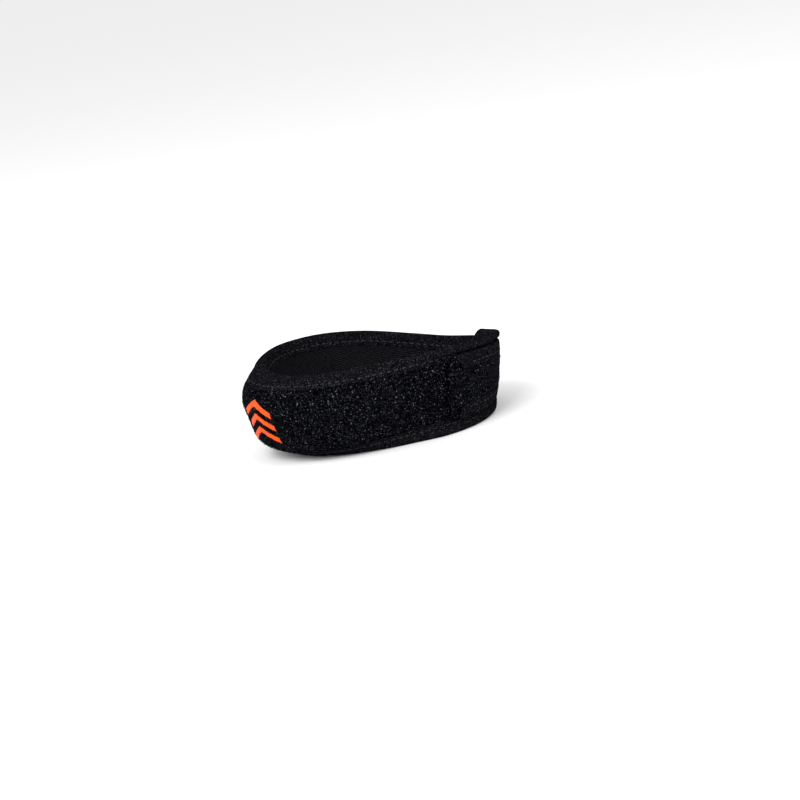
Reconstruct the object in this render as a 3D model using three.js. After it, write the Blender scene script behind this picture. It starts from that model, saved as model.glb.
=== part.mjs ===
// A patella strap: one soft strip, faced with brushed loop fabric, worn round the leg just below the kneecap.
// It carries a thick pad at the front, an elastic tape is folded over both of its long edges, and its outer end
// closes over its inner end with a hook patch at the side of the leg.
// Lengths are in millimetres and angles in degrees. +Z runs up the leg, the front of the knee faces -Y, and the
// strap stands on its lower edge.
// A place on the strap has three numbers: wrap, the angle gone round the leg from the inner end; height above the
// lower edge; and depth, the distance out from the leg's skin.

import * as THREE from "three";
import { mergeVertices } from "three/addons/utils/BufferGeometryUtils.js";

// The leg opening, measured half way up the strap, and how much nearer the skin comes at the lower edge.
const LEG_WIDTH = 107;
const LEG_DEPTH = 110;
const LEG_FLARE = 8.8;

// The leg's outline bulges from a circle in waves round it, as shares of its radius.
const LEG_WAVES = [
  { wavesRound: 1, share: 0.056 },
  { wavesRound: 2, share: 0.016 },
  { wavesRound: 3, share: 0.009 },
  { wavesRound: 4, share: 0.011 },
];

// The strap's own sizes: its height, and its thickness along the wide part, at the thin outer end, and where the
// outer end presses it flat.
const STRAP_HEIGHT = 43.5;
const STRAP_THICKNESS = 3.2;
const OUTER_END_THICKNESS = 1.6;
const PRESSED_THICKNESS = 2.2;
const FACE_CROWN = 0.8;

// The height of the top edge round the leg, by the angle from the front, as shares of the strap's height.
const TOP_EDGE = [
  { fromFront: 0, share: 0.985 },
  { fromFront: 60, share: 1.04 },
  { fromFront: 90, share: 1.01 },
  { fromFront: 120, share: 0.95 },
  { fromFront: 150, share: 0.87 },
  { fromFront: 180, share: 0.83 },
];

// The closure: where the inner end lies, measured from the front, how far the outer end runs over it, the bare
// lips of the inner end above and below the outer end, and how the strip climbs and narrows on its way there.
const INNER_END_FROM_FRONT = 168;
const OVERLAP = 90;
const UPPER_LIP = 4.5;
const LOWER_LIP = 6;
const LIP_SLOPE = 1.2;
const LIP_PROUD = 0.2;
const LIP_FADE = 20;
const LIP_BEYOND = 1;
const CLIMB = 27;
const CLIMB_END = 3;
const NARROWING = 90;
const HOOK_THICKNESS = 0.6;
const END_CORNER = 8;

// The pad: how far it stands out, how far it and its swell reach to each side of the front, how square it is up
// the strap, and the strip behind it.
const PAD_DEPTH = 18.5;
const PAD_REACH = 56;
const SWELL_REACH = 66;
const PAD_SQUARENESS = 3.9;
const PAD_BACKING = 1.5;

// The edge tape, the largest share of the strip's thickness that it presses in on each side, and the gap that
// every piece keeps to its neighbours.
const TAPE_WIDTH = 7.5;
const TAPE_THICKNESS = 0.5;
const TAPE_CHAMFER = 0.5;
const MOST_PRESSED_IN = 0.25;
const CLEARANCE = 0.35;

// The emblem: plain chevrons one above the other on the pad, turned a little from its middle, away from the
// closure.
const CHEVRON_COUNT = 3;
const CHEVRON_WIDTH = 24;
const CHEVRON_RISE = 6;
const CHEVRON_STROKE = 3.2;
const CHEVRON_PITCH = 6.8;
const CHEVRON_THICKNESS = 0.6;
const EMBLEM_HEIGHT = 23;
const EMBLEM_TURN = 5;

// How finely the surfaces are divided and sampled, and how near two corners of a mesh are one.
const STEP_ALONG = 12;
const STEP_AT_PAD = 6;
const STEP_AT_LIPS = 3.4;
const CORNER_STEPS = 4;
const CHEVRON_STEPS = 8;
const CORNER_SHARES = [0.3, 0.6];
const MIDDLE_SHARES = [0.2, 0.5, 0.8];
const SLOPE_STEP = 0.2;
const ANGLE_STEP = 0.001;
const WELD = 1e-4;

const FULL_TURN = 360;
const MM_PER_DEGREE = (Math.PI * (LEG_WIDTH + LEG_DEPTH)) / 2 / FULL_TURN;
const OUTER_END = FULL_TURN + OVERLAP;
const RUN_START = (END_CORNER + 2 * CLEARANCE) / MM_PER_DEGREE;
const RUN_END = OUTER_END - RUN_START;
const FRONT = INNER_END_FROM_FRONT;
const EMBLEM_WRAP = FRONT + EMBLEM_TURN;
const BODY_INSET = TAPE_THICKNESS + CLEARANCE;
const CLIMB_HEIGHT = PRESSED_THICKNESS + HOOK_THICKNESS + 2 * CLEARANCE;
const LIP_RISE = CLIMB_HEIGHT + OUTER_END_THICKNESS + LIP_PROUD - STRAP_THICKNESS;

const loopFabric = new THREE.MeshStandardMaterial({ color: 0x16171b, roughness: 0.95, metalness: 0 });
const edgeTape = new THREE.MeshStandardMaterial({ color: 0x101114, roughness: 0.8, metalness: 0 });
const hookTape = new THREE.MeshStandardMaterial({ color: 0x0d0e10, roughness: 0.7, metalness: 0 });
const orangePrint = new THREE.MeshStandardMaterial({ color: 0xff5a0a, roughness: 0.55, metalness: 0 });

const radians = THREE.MathUtils.degToRad;
const mix = THREE.MathUtils.lerp;
const eased = THREE.MathUtils.smoothstep;

// The value of a table's share column at an angle, on a smooth curve through the rows.
function shareAt(rows, angle) {
  const last = rows.length - 1;
  const i = Math.max(0, rows.findIndex((row, k) => k === last - 1 || angle < rows[k + 1].fromFront));
  const slope = (k) => {
    if (k === 0 || k === last) return 0;
    return (rows[k + 1].share - rows[k - 1].share) / (rows[k + 1].fromFront - rows[k - 1].fromFront);
  };
  const span = rows[i + 1].fromFront - rows[i].fromFront;
  const t = (angle - rows[i].fromFront) / span;
  const left = rows[i].share * (1 + 2 * t) * (1 - t) ** 2 + slope(i) * span * t * (1 - t) ** 2;
  const right = rows[i + 1].share * t * t * (3 - 2 * t) + slope(i + 1) * span * t * t * (t - 1);
  return left + right;
}

// The leg's skin half way up, as a point and an outward normal, at an angle from the front.
function legRadius(angle) {
  return LEG_WAVES.reduce((sum, row) => sum + row.share * Math.cos(row.wavesRound * angle), 1);
}

const widestRadius = Math.max(
  ...Array.from({ length: FULL_TURN / 2 }, (_, k) => legRadius(radians(k)) * Math.sin(radians(k))),
);
const halfWidth = LEG_WIDTH / 2 / widestRadius;
const halfDepth = LEG_DEPTH / (legRadius(0) + legRadius(Math.PI));

function legPoint(angle) {
  const r = legRadius(angle);
  return new THREE.Vector2(halfWidth * r * Math.sin(angle), -halfDepth * r * Math.cos(angle));
}

function legNormal(angle) {
  const tangent = legPoint(angle + ANGLE_STEP).sub(legPoint(angle - ANGLE_STEP));
  return new THREE.Vector2(tangent.y, -tangent.x).normalize();
}

const fromFront = (wrap) => {
  const angle = THREE.MathUtils.euclideanModulo(FRONT - wrap, FULL_TURN);
  return angle > FULL_TURN / 2 ? angle - FULL_TURN : angle;
};

// The strip narrows and thins on its way round the back to the outer end.
const narrowed = (wrap) => eased(wrap, FULL_TURN - NARROWING - CLIMB / 2, FULL_TURN - CLIMB / 2);
const lowEdge = (wrap) => narrowed(wrap) * LOWER_LIP;
const highEdge = (wrap) =>
  STRAP_HEIGHT * shareAt(TOP_EDGE, Math.abs(fromFront(wrap))) - narrowed(wrap) * UPPER_LIP;

// How fully the outer end covers the inner end at a place, from 0 to 1, and the lips left bare beside it. The
// lips start behind the inner end's rounded corners and fade out past the outer end.
function closureAt(wrap, height) {
  const along = 1 - eased(wrap, lipEnd, lipEnd + LIP_FADE);
  const bare = eased(wrap, RUN_START, lipFull);
  const low = lowEdge(wrap + FULL_TURN) - CLEARANCE;
  const high = highEdge(wrap + FULL_TURN) + CLEARANCE;
  const across = eased(height, low - LIP_SLOPE, low) * (1 - eased(height, high, high + LIP_SLOPE));
  const pressed = along * mix(1, across, bare);
  return { pressed, lip: along - pressed, along };
}

// The depth of the strip's inner face: on the skin, up on the inner end, or lifted in a lip.
function innerFace(wrap, height) {
  const climbed = eased(wrap, FULL_TURN - CLIMB_END - CLIMB, FULL_TURN - CLIMB_END);
  return CLIMB_HEIGHT * climbed + LIP_RISE * closureAt(wrap, height).lip;
}

function thicknessAt(wrap, height) {
  const plain = mix(STRAP_THICKNESS, OUTER_END_THICKNESS, narrowed(wrap));
  return plain - (STRAP_THICKNESS - PRESSED_THICKNESS) * closureAt(wrap, height).pressed;
}

// The share of the pad's depth that shows at a place: a bell round the front, a rounded block up the strap.
function padShare(wrap) {
  return 0.5 + 0.5 * Math.cos(Math.PI * Math.min(1, Math.abs(fromFront(wrap)) / SWELL_REACH));
}

function roundedUp(wrap, height) {
  const middle = (lowEdge(wrap) + highEdge(wrap)) / 2;
  const reach = (highEdge(wrap) - lowEdge(wrap)) / 2;
  return 1 - Math.min(1, Math.abs(height - middle) / reach) ** PAD_SQUARENESS;
}

// The depth of the dressed outer face: the strip's thickness, its crown and the pad.
function outerFace(wrap, height) {
  const crown = FACE_CROWN * (1 - closureAt(wrap, height).along);
  const swell = (crown + PAD_DEPTH * padShare(wrap)) * roundedUp(wrap, height);
  return innerFace(wrap, height) + thicknessAt(wrap, height) + swell;
}

// How much longer a depth must be than a thickness, where the face slopes up the strap.
function slopeFactor(wrap, height) {
  const low = outerFace(wrap, Math.max(lowEdge(wrap), height - SLOPE_STEP));
  const high = outerFace(wrap, Math.min(highEdge(wrap), height + SLOPE_STEP));
  return padShare(wrap) > 0 ? Math.hypot(1, (high - low) / (2 * SLOPE_STEP)) : 1;
}

// A place on the strap in space.
function spot(wrap, height, depth) {
  const angle = radians(FRONT - wrap);
  const skin = legPoint(angle);
  const out = depth + LEG_FLARE * (height / STRAP_HEIGHT - 0.5);
  skin.addScaledVector(legNormal(angle), out);
  return new THREE.Vector3(skin.x, skin.y, height);
}

// The distance to the nearest edge of the strip, whose four corners are rounded.
function edgeDistance(wrap, height) {
  const end = Math.min(wrap, OUTER_END - wrap) * MM_PER_DEGREE;
  const side = Math.min(height - lowEdge(wrap), highEdge(wrap) - height);
  if (end < END_CORNER && side < END_CORNER) {
    return END_CORNER - Math.hypot(END_CORNER - end, END_CORNER - side);
  }
  return Math.min(end, side);
}

// How far the strip's faces are pressed in under the tape, and how far the tape then stands proud of them.
const pressedIn = (wrap, height) => Math.min(BODY_INSET, thicknessAt(wrap, height) * MOST_PRESSED_IN);
const underTape = (wrap, height) => edgeDistance(wrap, height) < TAPE_WIDTH + CLEARANCE;
const proudOf = (wrap, height) => BODY_INSET - pressedIn(wrap, height);

// A closed block of shared faces, each corner of its grid put in place by a function of its three shares.
function bentBlock(name, material, counts, place) {
  const geometry = new THREE.BoxGeometry(1, 1, 1, counts[0], counts[1], counts[2]);
  const at = geometry.attributes.position;
  for (let i = 0; i < at.count; i += 1) {
    const moved = place(at.getX(i) + 0.5, at.getY(i) + 0.5, at.getZ(i) + 0.5);
    at.setXYZ(i, moved.x, moved.y, moved.z);
  }
  geometry.deleteAttribute("normal");
  geometry.deleteAttribute("uv");
  const merged = mergeVertices(geometry, WELD);
  merged.computeVertexNormals();
  const mesh = new THREE.Mesh(merged, material);
  mesh.name = name;
  return mesh;
}

const pick = (list, share) => list[Math.round(share * (list.length - 1))];

// Angles from one place to another in even steps of about the given size, without the last one.
function evenly(from, to, step) {
  const count = Math.max(1, Math.round((to - from) / step));
  return Array.from({ length: count }, (_, k) => mix(from, to, k / count));
}

// The angles of the cross-sections between the two rounded ends, which the strip and its tapes share.
const padStart = FRONT - PAD_REACH;
const padEnd = FRONT + PAD_REACH;
const padGap = CLEARANCE / MM_PER_DEGREE;
const lipFull = RUN_START + LIP_FADE;
const lipEnd = OVERLAP + LIP_BEYOND;
const runBefore = [
  ...evenly(RUN_START, lipFull, STEP_AT_LIPS),
  ...evenly(lipFull, lipEnd, STEP_ALONG),
  ...evenly(lipEnd, lipEnd + LIP_FADE, STEP_AT_LIPS),
  lipEnd + LIP_FADE,
];
const runBehind = evenly(padStart, padEnd, STEP_AT_PAD);
const runAfter = [...evenly(padEnd, RUN_END, STEP_ALONG), RUN_END];

// The angles of the cross-sections near an end, from the end inwards.
const END_STATIONS = [
  BODY_INSET,
  BODY_INSET + CLEARANCE,
  ...CORNER_SHARES.map((share) => share * END_CORNER),
  TAPE_WIDTH,
].map((length) => length / MM_PER_DEGREE);

// The grid lines under one edge tape, as distances from the edge: half way to the lip's slope, the slope's two
// sides and the tape's own edge.
function edgeLadder(lip) {
  const slope = lip - CLEARANCE - LIP_SLOPE;
  return [slope / 2, slope, lip - CLEARANCE, TAPE_WIDTH];
}

// The heights of a cross-section's grid lines: the lips, the tape's edge, and three lines between them.
function gridHeights(wrap) {
  const end = Math.min(wrap, OUTER_END - wrap) * MM_PER_DEGREE;
  const radius = END_CORNER - BODY_INSET;
  const drop = end < END_CORNER ? radius - Math.sqrt(Math.max(0, radius ** 2 - (END_CORNER - end) ** 2)) : 0;
  const ladder = (lip) => [BODY_INSET, ...edgeLadder(lip), TAPE_WIDTH + 2 * CLEARANCE];
  const up = ladder(LOWER_LIP).map((length) => lowEdge(wrap) + length);
  const down = ladder(UPPER_LIP).map((length) => highEdge(wrap) - length);
  const middle = MIDDLE_SHARES.map((share) => mix(up.at(-1), down.at(-1), share));
  const floor = lowEdge(wrap) + BODY_INSET + drop;
  const roof = highEdge(wrap) - BODY_INSET - drop;
  const lines = [...up, ...middle, ...down.reverse()];
  return lines.map((height, k) => mix(floor, roof, (height - lines[0]) / (lines.at(-1) - lines[0])));
}

// The strip: a long block wrapped round the leg and over its own inner end, with a hollow where the pad sits.
function makeStrapBand() {
  const stations = [
    ...END_STATIONS,
    ...runBefore,
    padStart - padGap,
    ...runBehind,
    padEnd,
    padEnd + padGap,
    ...runAfter.slice(1),
    ...END_STATIONS.map((angle) => OUTER_END - angle).reverse(),
  ];
  const behindPad = (wrap) => wrap > padStart - padGap / 2 && wrap < padEnd + padGap / 2;
  const lines = stations.map((wrap) => gridHeights(wrap));
  const counts = [stations.length - 1, lines[0].length - 1, 1];
  return bentBlock("strap_band", loopFabric, counts, (a, b, c) => {
    const wrap = pick(stations, a);
    const height = pick(lines[Math.round(a * counts[0])], b);
    const pressed = underTape(wrap, height) ? pressedIn(wrap, height) : 0;
    const inner = innerFace(wrap, height) + pressed;
    const outer = behindPad(wrap) ? PAD_BACKING : outerFace(wrap, height) - pressed;
    return spot(wrap, height, c > 0.5 ? inner : outer);
  });
}

// The pad: a block that fills the space between the strip behind it and the dressed outer face.
function makeFrontPad() {
  const stations = [padStart + padGap, ...runBehind.slice(1), padEnd - padGap];
  const counts = [stations.length - 1, gridHeights(FRONT).length - 1, 1];
  return bentBlock("front_pad", loopFabric, counts, (a, b, c) => {
    const wrap = pick(stations, a);
    const height = pick(gridHeights(wrap), b);
    const sunk = underTape(wrap, height) ? BODY_INSET * slopeFactor(wrap, height) : 0;
    const inner = PAD_BACKING + CLEARANCE;
    return spot(wrap, height, c > 0.5 ? inner : outerFace(wrap, height) - sunk);
  });
}

// The route of one edge tape: from the middle of the inner end, round its corner, along the edge, round the
// outer end's corner and back to the middle. Each station has a place and the way into the strip from there.
function tapeRoute(edge, way) {
  const length = (mm) => mm / MM_PER_DEGREE;
  const middle = (wrap) => (lowEdge(wrap) + highEdge(wrap)) / 2 + (way * CLEARANCE) / 2;
  const endPart = (wrap, alongWay) =>
    [0, 0.5].map((share) => ({
      wrap,
      height: mix(middle(wrap), edge(wrap) - way * END_CORNER, share),
      in: [alongWay, 0],
    }));
  const corner = (wrap, alongWay) =>
    Array.from({ length: CORNER_STEPS + 1 }, (_, k) => {
      const turn = (k / CORNER_STEPS) * (Math.PI / 2);
      const along = END_CORNER * (1 - Math.cos(turn));
      const at = wrap + alongWay * length(along);
      return {
        wrap: at,
        height: edge(at) - way * END_CORNER * (1 - Math.sin(turn)),
        in: [alongWay * Math.cos(turn), -way * Math.sin(turn)],
      };
    });
  const run = [...runBefore, ...runBehind, ...runAfter].map((wrap) => ({
    wrap,
    height: edge(wrap),
    in: [0, -way],
  }));
  return [
    ...endPart(0, 1),
    ...corner(0, 1),
    ...run,
    ...corner(OUTER_END, -1).reverse(),
    ...endPart(OUTER_END, -1).reverse(),
  ];
}

// An edge tape: a thin sheet folded over the edge, down the outer face and down the inner face.
function makeTape(name, edge, way, lip) {
  const route = tapeRoute(edge, way);
  const miter = TAPE_THICKNESS * Math.tan(Math.PI / 8);
  const outerLeg = [TAPE_CHAMFER, ...edgeLadder(lip)].reverse();
  const innerLeg = [TAPE_CHAMFER, ...edgeLadder(lip).slice(1)];
  const fold = [
    ...outerLeg.map((inset) => ({ inset, side: 1, cut: 0 })),
    { inset: 0, side: 1, cut: TAPE_CHAMFER },
    { inset: 0, side: -1, cut: TAPE_CHAMFER },
    ...innerLeg.map((inset) => ({ inset, side: -1, cut: 0 })),
  ];
  return bentBlock(name, edgeTape, [route.length - 1, fold.length - 1, 1], (a, b, c) => {
    const station = pick(route, a);
    const row = pick(fold, b);
    const inside = c > 0.5 === way > 0;
    const atFold = row.inset === 0;
    const atChamfer = row.inset === TAPE_CHAMFER;
    const inset = row.inset + (inside && atFold ? TAPE_THICKNESS : 0) + (inside && atChamfer ? miter : 0);
    const wrap = station.wrap + (inset * station.in[0]) / MM_PER_DEGREE;
    const height = station.height + inset * station.in[1];
    const steep = row.side > 0 && !atFold ? slopeFactor(wrap, height) : 1;
    const thick = inside ? TAPE_THICKNESS * steep : 0;
    const cut = row.cut + (inside && atFold ? miter - TAPE_THICKNESS : 0);
    const proud = proudOf(wrap, height);
    const face = atFold ? innerFace(wrap, height) + thicknessAt(wrap, height) : outerFace(wrap, height);
    const outer = face + proud - thick - cut;
    const inner = innerFace(wrap, height) - proud + thick + cut;
    return spot(wrap, height, row.side > 0 ? outer : inner);
  });
}

// The hook patch: a thin plate between the outer end and the pressed part of the inner end.
function makeHookPatch() {
  const margin = (TAPE_WIDTH + 2 * CLEARANCE) / MM_PER_DEGREE;
  const stations = [...evenly(FULL_TURN + margin, OUTER_END - margin, STEP_ALONG), OUTER_END - margin];
  return bentBlock("hook_patch", hookTape, [stations.length - 1, 2, 1], (a, b, c) => {
    const wrap = pick(stations, a);
    const low = lowEdge(wrap) + TAPE_WIDTH + 2 * CLEARANCE;
    const high = highEdge(wrap) - TAPE_WIDTH - 2 * CLEARANCE;
    const depth = PRESSED_THICKNESS + CLEARANCE + (c > 0.5 ? 0 : HOOK_THICKNESS);
    return spot(wrap, mix(low, high, b), depth);
  });
}

// One chevron: two arms that meet at the middle, lying on the pad's face.
function makeChevron(name, middle) {
  const face = outerFace(EMBLEM_WRAP, middle);
  const oneDegree = spot(EMBLEM_WRAP + 0.5, middle, face).distanceTo(spot(EMBLEM_WRAP - 0.5, middle, face));
  return bentBlock(name, orangePrint, [CHEVRON_STEPS, 2, 1], (a, b, c) => {
    const wrap = EMBLEM_WRAP - ((a - 0.5) * CHEVRON_WIDTH) / oneDegree;
    const rise = CHEVRON_RISE * (0.5 - Math.abs(2 * a - 1)) + CHEVRON_STROKE * (b - 0.5);
    const height = middle + rise;
    const lift = CLEARANCE + (c > 0.5 ? CHEVRON_THICKNESS : 0);
    return spot(wrap, height, outerFace(wrap, height) + lift * slopeFactor(wrap, height));
  });
}

const strap = new THREE.Group();
strap.add(makeStrapBand());
strap.add(makeFrontPad());
strap.add(makeTape("top_binding", highEdge, 1, UPPER_LIP));
strap.add(makeTape("bottom_binding", lowEdge, -1, LOWER_LIP));
strap.add(makeHookPatch());

const emblem = new THREE.Group();
for (let k = 0; k < CHEVRON_COUNT; k += 1) {
  const middle = EMBLEM_HEIGHT + (k - (CHEVRON_COUNT - 1) / 2) * CHEVRON_PITCH;
  emblem.add(makeChevron(`emblem_chevron_${k + 1}`, middle));
}
strap.add(emblem);

// The strap stands on its lower edge, with the middle of its floor outline at the origin.
const bounds = new THREE.Box3().setFromObject(strap, true);
const centre = bounds.getCenter(new THREE.Vector3());
strap.position.set(-centre.x, -centre.y, -bounds.min.z);

export default strap;
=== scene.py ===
"""The dressed patella strap: loop-faced band, front pad, folded edge tapes, seams and emblem.

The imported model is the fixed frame. Every piece here is a surface worked out with numpy from the strap's own
sizes, in millimetres and degrees, and put into the mesh in metres.
"""

import logging
import math
from collections.abc import Callable
from dataclasses import dataclass
from enum import Enum
from functools import cache

import bpy
import numpy as np
from mathutils import Matrix, Vector


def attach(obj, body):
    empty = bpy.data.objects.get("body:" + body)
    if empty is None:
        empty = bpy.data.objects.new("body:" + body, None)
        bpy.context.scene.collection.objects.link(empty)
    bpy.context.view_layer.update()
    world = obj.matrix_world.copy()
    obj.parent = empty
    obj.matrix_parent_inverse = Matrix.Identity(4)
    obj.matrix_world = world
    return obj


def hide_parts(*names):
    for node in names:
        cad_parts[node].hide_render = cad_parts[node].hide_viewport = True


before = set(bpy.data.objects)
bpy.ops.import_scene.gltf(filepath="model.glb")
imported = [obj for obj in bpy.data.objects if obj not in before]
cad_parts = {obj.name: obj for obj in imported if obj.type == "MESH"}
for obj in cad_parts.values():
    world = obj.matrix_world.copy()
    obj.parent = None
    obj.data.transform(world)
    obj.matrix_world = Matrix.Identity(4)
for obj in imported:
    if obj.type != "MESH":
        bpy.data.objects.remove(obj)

LOG = logging.getLogger("patella_strap")
MM = 0.001
FULL_TURN = 360.0
ROOT = "root"
TINY = 1e-12
Array = np.ndarray
Colour = tuple[float, float, float]
Output = tuple[bpy.types.Node, str | int]


class Edge(Enum):
    """A long edge of the strip; the value is the way out of the strip there."""

    TOP = 1
    BOTTOM = -1


class Face(Enum):
    """A face of the strip; the value is the way out of the strip there."""

    OUTER = 1
    INNER = -1


def eased(x: Array, low: float | Array, high: float | Array) -> Array:
    """Gives the smooth step 3t² - 2t³ of the clamped share t from low to high.

    Args:
        x: Values to ease.
        low: Where the step starts.
        high: Where the step ends.

    Returns:
        The eased shares, from 0 to 1.
    """
    t = np.clip((x - low) / (high - low), 0.0, 1.0)
    return t * t * (3.0 - 2.0 * t)


def mix(a: float | Array, b: float | Array, t: float | Array) -> Array:
    """Gives the value a share t of the way from a to b."""
    return a + (b - a) * t


def spaced(low: float, high: float, step: float) -> Array:
    """Gives evenly spaced values from low to high, both included, about a step apart."""
    return np.linspace(low, high, max(2, int(round((high - low) / step)) + 1))


def along_line(places: Array, length: Array, line: Array) -> Array:
    """Gives the points of a line of points at given lengths along it."""
    return np.stack([np.interp(places, length, line[:, k]) for k in range(3)], axis=-1)


@dataclass(frozen=True)
class Ripples:
    """Sine waves of random direction, length and phase over a surface, in millimetres."""

    height: float
    seed: int
    waves: int
    shortest: float
    longest: float

    def at(self, u: Array, v: Array) -> Array:
        """Gives the height of the waves' sum.

        Args:
            u: First surface coordinate, in millimetres.
            v: Second surface coordinate, in millimetres.

        Returns:
            The sum of the waves, scaled to a mean square of their height squared.
        """
        draw = np.random.default_rng(self.seed)
        total = np.zeros(np.broadcast(u, v).shape)
        for _ in range(self.waves):
            length = draw.uniform(self.shortest, self.longest)
            turn = draw.uniform(0.0, math.pi)
            phase = draw.uniform(0.0, 2.0 * math.pi)
            total += np.sin((u * math.cos(turn) + v * math.sin(turn)) * 2.0 * math.pi / length + phase)
        return self.height * (total * math.sqrt(2.0 / self.waves))


@dataclass(frozen=True)
class StrapShape:
    """The strap's sizes, in millimetres and degrees, and the surfaces that they give.

    A place on the strap has three numbers: wrap, the angle gone round the leg from the inner end; height
    above the lower edge; and depth, the distance out from the leg's skin.
    """

    leg_width: float = 107.0
    leg_depth: float = 110.0
    leg_flare: float = 8.8
    leg_waves: tuple[float, ...] = (0.056, 0.016, 0.009, 0.011)
    height: float = 43.5
    thickness: float = 3.2
    outer_end_thickness: float = 1.6
    pressed_thickness: float = 2.2
    face_crown: float = 0.8
    top_angles: tuple[float, ...] = (0.0, 60.0, 90.0, 120.0, 150.0, 180.0)
    top_shares: tuple[float, ...] = (0.985, 1.04, 1.01, 0.95, 0.87, 0.83)
    front: float = 168.0
    overlap: float = 90.0
    upper_lip: float = 4.5
    lower_lip: float = 6.0
    lip_slope: float = 1.2
    lip_proud: float = 0.2
    lip_fade: float = 20.0
    lip_beyond: float = 1.0
    climb: float = 27.0
    climb_end: float = 3.0
    narrowing: float = 90.0
    hook_thickness: float = 0.6
    end_corner: float = 8.0
    pad_depth: float = 18.5
    pad_reach: float = 56.0
    swell_reach: float = 66.0
    pad_squareness: float = 3.9
    pad_backing: float = 1.5
    tape_width: float = 7.5
    reach_lost_on_pad: float = 2.8
    end_reach: float = 2.2
    clearance: float = 0.35
    leg_axis_x: float = -1.105
    leg_axis_y: float = 12.342
    slope_probe: float = 0.2
    most_slope: float = 3.0

    @property
    def mm_per_degree(self) -> float:
        """Length of one degree of wrap along the skin."""
        return math.pi * (self.leg_width + self.leg_depth) / 2.0 / FULL_TURN

    @property
    def outer_end(self) -> float:
        """Wrap of the outer end's edge."""
        return FULL_TURN + self.overlap

    @property
    def run_start(self) -> float:
        """Wrap where the inner end's rounded corners are over."""
        return (self.end_corner + 2.0 * self.clearance) / self.mm_per_degree

    @property
    def climb_height(self) -> float:
        """Depth at which the outer end lies over the inner end."""
        return self.pressed_thickness + self.hook_thickness + 2.0 * self.clearance

    @property
    def lip_rise(self) -> float:
        """How far the bare lips are lifted off the skin."""
        return self.climb_height + self.outer_end_thickness + self.lip_proud - self.thickness

    def leg_radius(self, angle: Array) -> Array:
        """Gives the leg's radius as a share: one plus a cosine wave for each share in the table."""
        return 1.0 + sum(share * np.cos((k + 1) * angle) for k, share in enumerate(self.leg_waves))

    def leg_point(self, angle: Array) -> Array:
        """Gives the skin's x and y half way up.

        Args:
            angle: Angle from the front, in radians.

        Returns:
            The ellipse of the leg's two half sizes times the radius share, as x and y.
        """
        sweep = np.radians(np.arange(180.0))
        half_width = self.leg_width / 2.0 / np.max(self.leg_radius(sweep) * np.sin(sweep))
        half_depth = self.leg_depth / float(self.leg_radius(np.array([0.0, math.pi])).sum())
        r = self.leg_radius(angle)
        return np.stack([half_width * r * np.sin(angle), -half_depth * r * np.cos(angle)], axis=-1)

    def from_front(self, wrap: Array) -> Array:
        """Gives the angle from the front, from -180 to 180 degrees."""
        return (self.front - wrap + 180.0) % FULL_TURN - 180.0

    def top_share(self, angle: Array) -> Array:
        """Gives the top edge's height as a share of the strap's.

        Args:
            angle: Angle from the front, in degrees, from 0 to 180.

        Returns:
            A cubic through the table's rows, level at both ends, whose slope at a row is that of the chord
            between its neighbours.
        """
        at = np.array(self.top_angles)
        share = np.array(self.top_shares)
        slope = np.zeros(len(at))
        slope[1:-1] = (share[2:] - share[:-2]) / (at[2:] - at[:-2])
        i = np.clip(np.searchsorted(at, angle, side="right") - 1, 0, len(at) - 2)
        span = at[i + 1] - at[i]
        t = (angle - at[i]) / span
        left = share[i] * (1 + 2 * t) * (1 - t) ** 2 + slope[i] * span * t * (1 - t) ** 2
        right = share[i + 1] * t * t * (3 - 2 * t) + slope[i + 1] * span * t * t * (t - 1)
        return left + right

    def narrowed(self, wrap: Array) -> Array:
        """Gives how far the strip has narrowed on its way to the outer end, from 0 to 1."""
        end = FULL_TURN - self.climb / 2.0
        return eased(wrap, end - self.narrowing, end)

    def low_edge(self, wrap: Array) -> Array:
        """Gives the height of the strip's lower edge."""
        return self.narrowed(wrap) * self.lower_lip

    def high_edge(self, wrap: Array) -> Array:
        """Gives the height of the strip's upper edge."""
        whole = self.height * self.top_share(np.abs(self.from_front(wrap)))
        return whole - self.narrowed(wrap) * self.upper_lip

    def closure(self, wrap: Array, height: Array) -> tuple[Array, Array, Array]:
        """Gives how the outer end presses on a place of the inner end.

        Args:
            wrap: Places along the strip.
            height: Places up the strip.

        Returns:
            The shares pressed flat, lifted as a bare lip, and lying along the closure at all.
        """
        end = self.overlap + self.lip_beyond
        along = 1.0 - eased(wrap, end, end + self.lip_fade)
        bare = eased(wrap, self.run_start, self.run_start + self.lip_fade)
        low = self.low_edge(wrap + FULL_TURN) - self.clearance
        high = self.high_edge(wrap + FULL_TURN) + self.clearance
        across = eased(height, low - self.lip_slope, low) * (1.0 - eased(height, high, high + self.lip_slope))
        pressed = along * mix(1.0, across, bare)
        return pressed, along - pressed, along

    def inner_face(self, wrap: Array, height: Array) -> Array:
        """Gives the depth of the inner face: the skin, the climb over the inner end and the lifted lips."""
        climbed = eased(wrap, FULL_TURN - self.climb_end - self.climb, FULL_TURN - self.climb_end)
        return self.climb_height * climbed + self.lip_rise * self.closure(wrap, height)[1]

    def thickness_at(self, wrap: Array, height: Array) -> Array:
        """Gives the strip's thickness, thinner to the outer end and where it is pressed."""
        plain = mix(self.thickness, self.outer_end_thickness, self.narrowed(wrap))
        return plain - (self.thickness - self.pressed_thickness) * self.closure(wrap, height)[0]

    def pad_share(self, wrap: Array) -> Array:
        """Gives the share of the pad's depth round the front: half a cosine wave to each side."""
        near = np.minimum(1.0, np.abs(self.from_front(wrap)) / self.swell_reach)
        return 0.5 + 0.5 * np.cos(math.pi * near)

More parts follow.
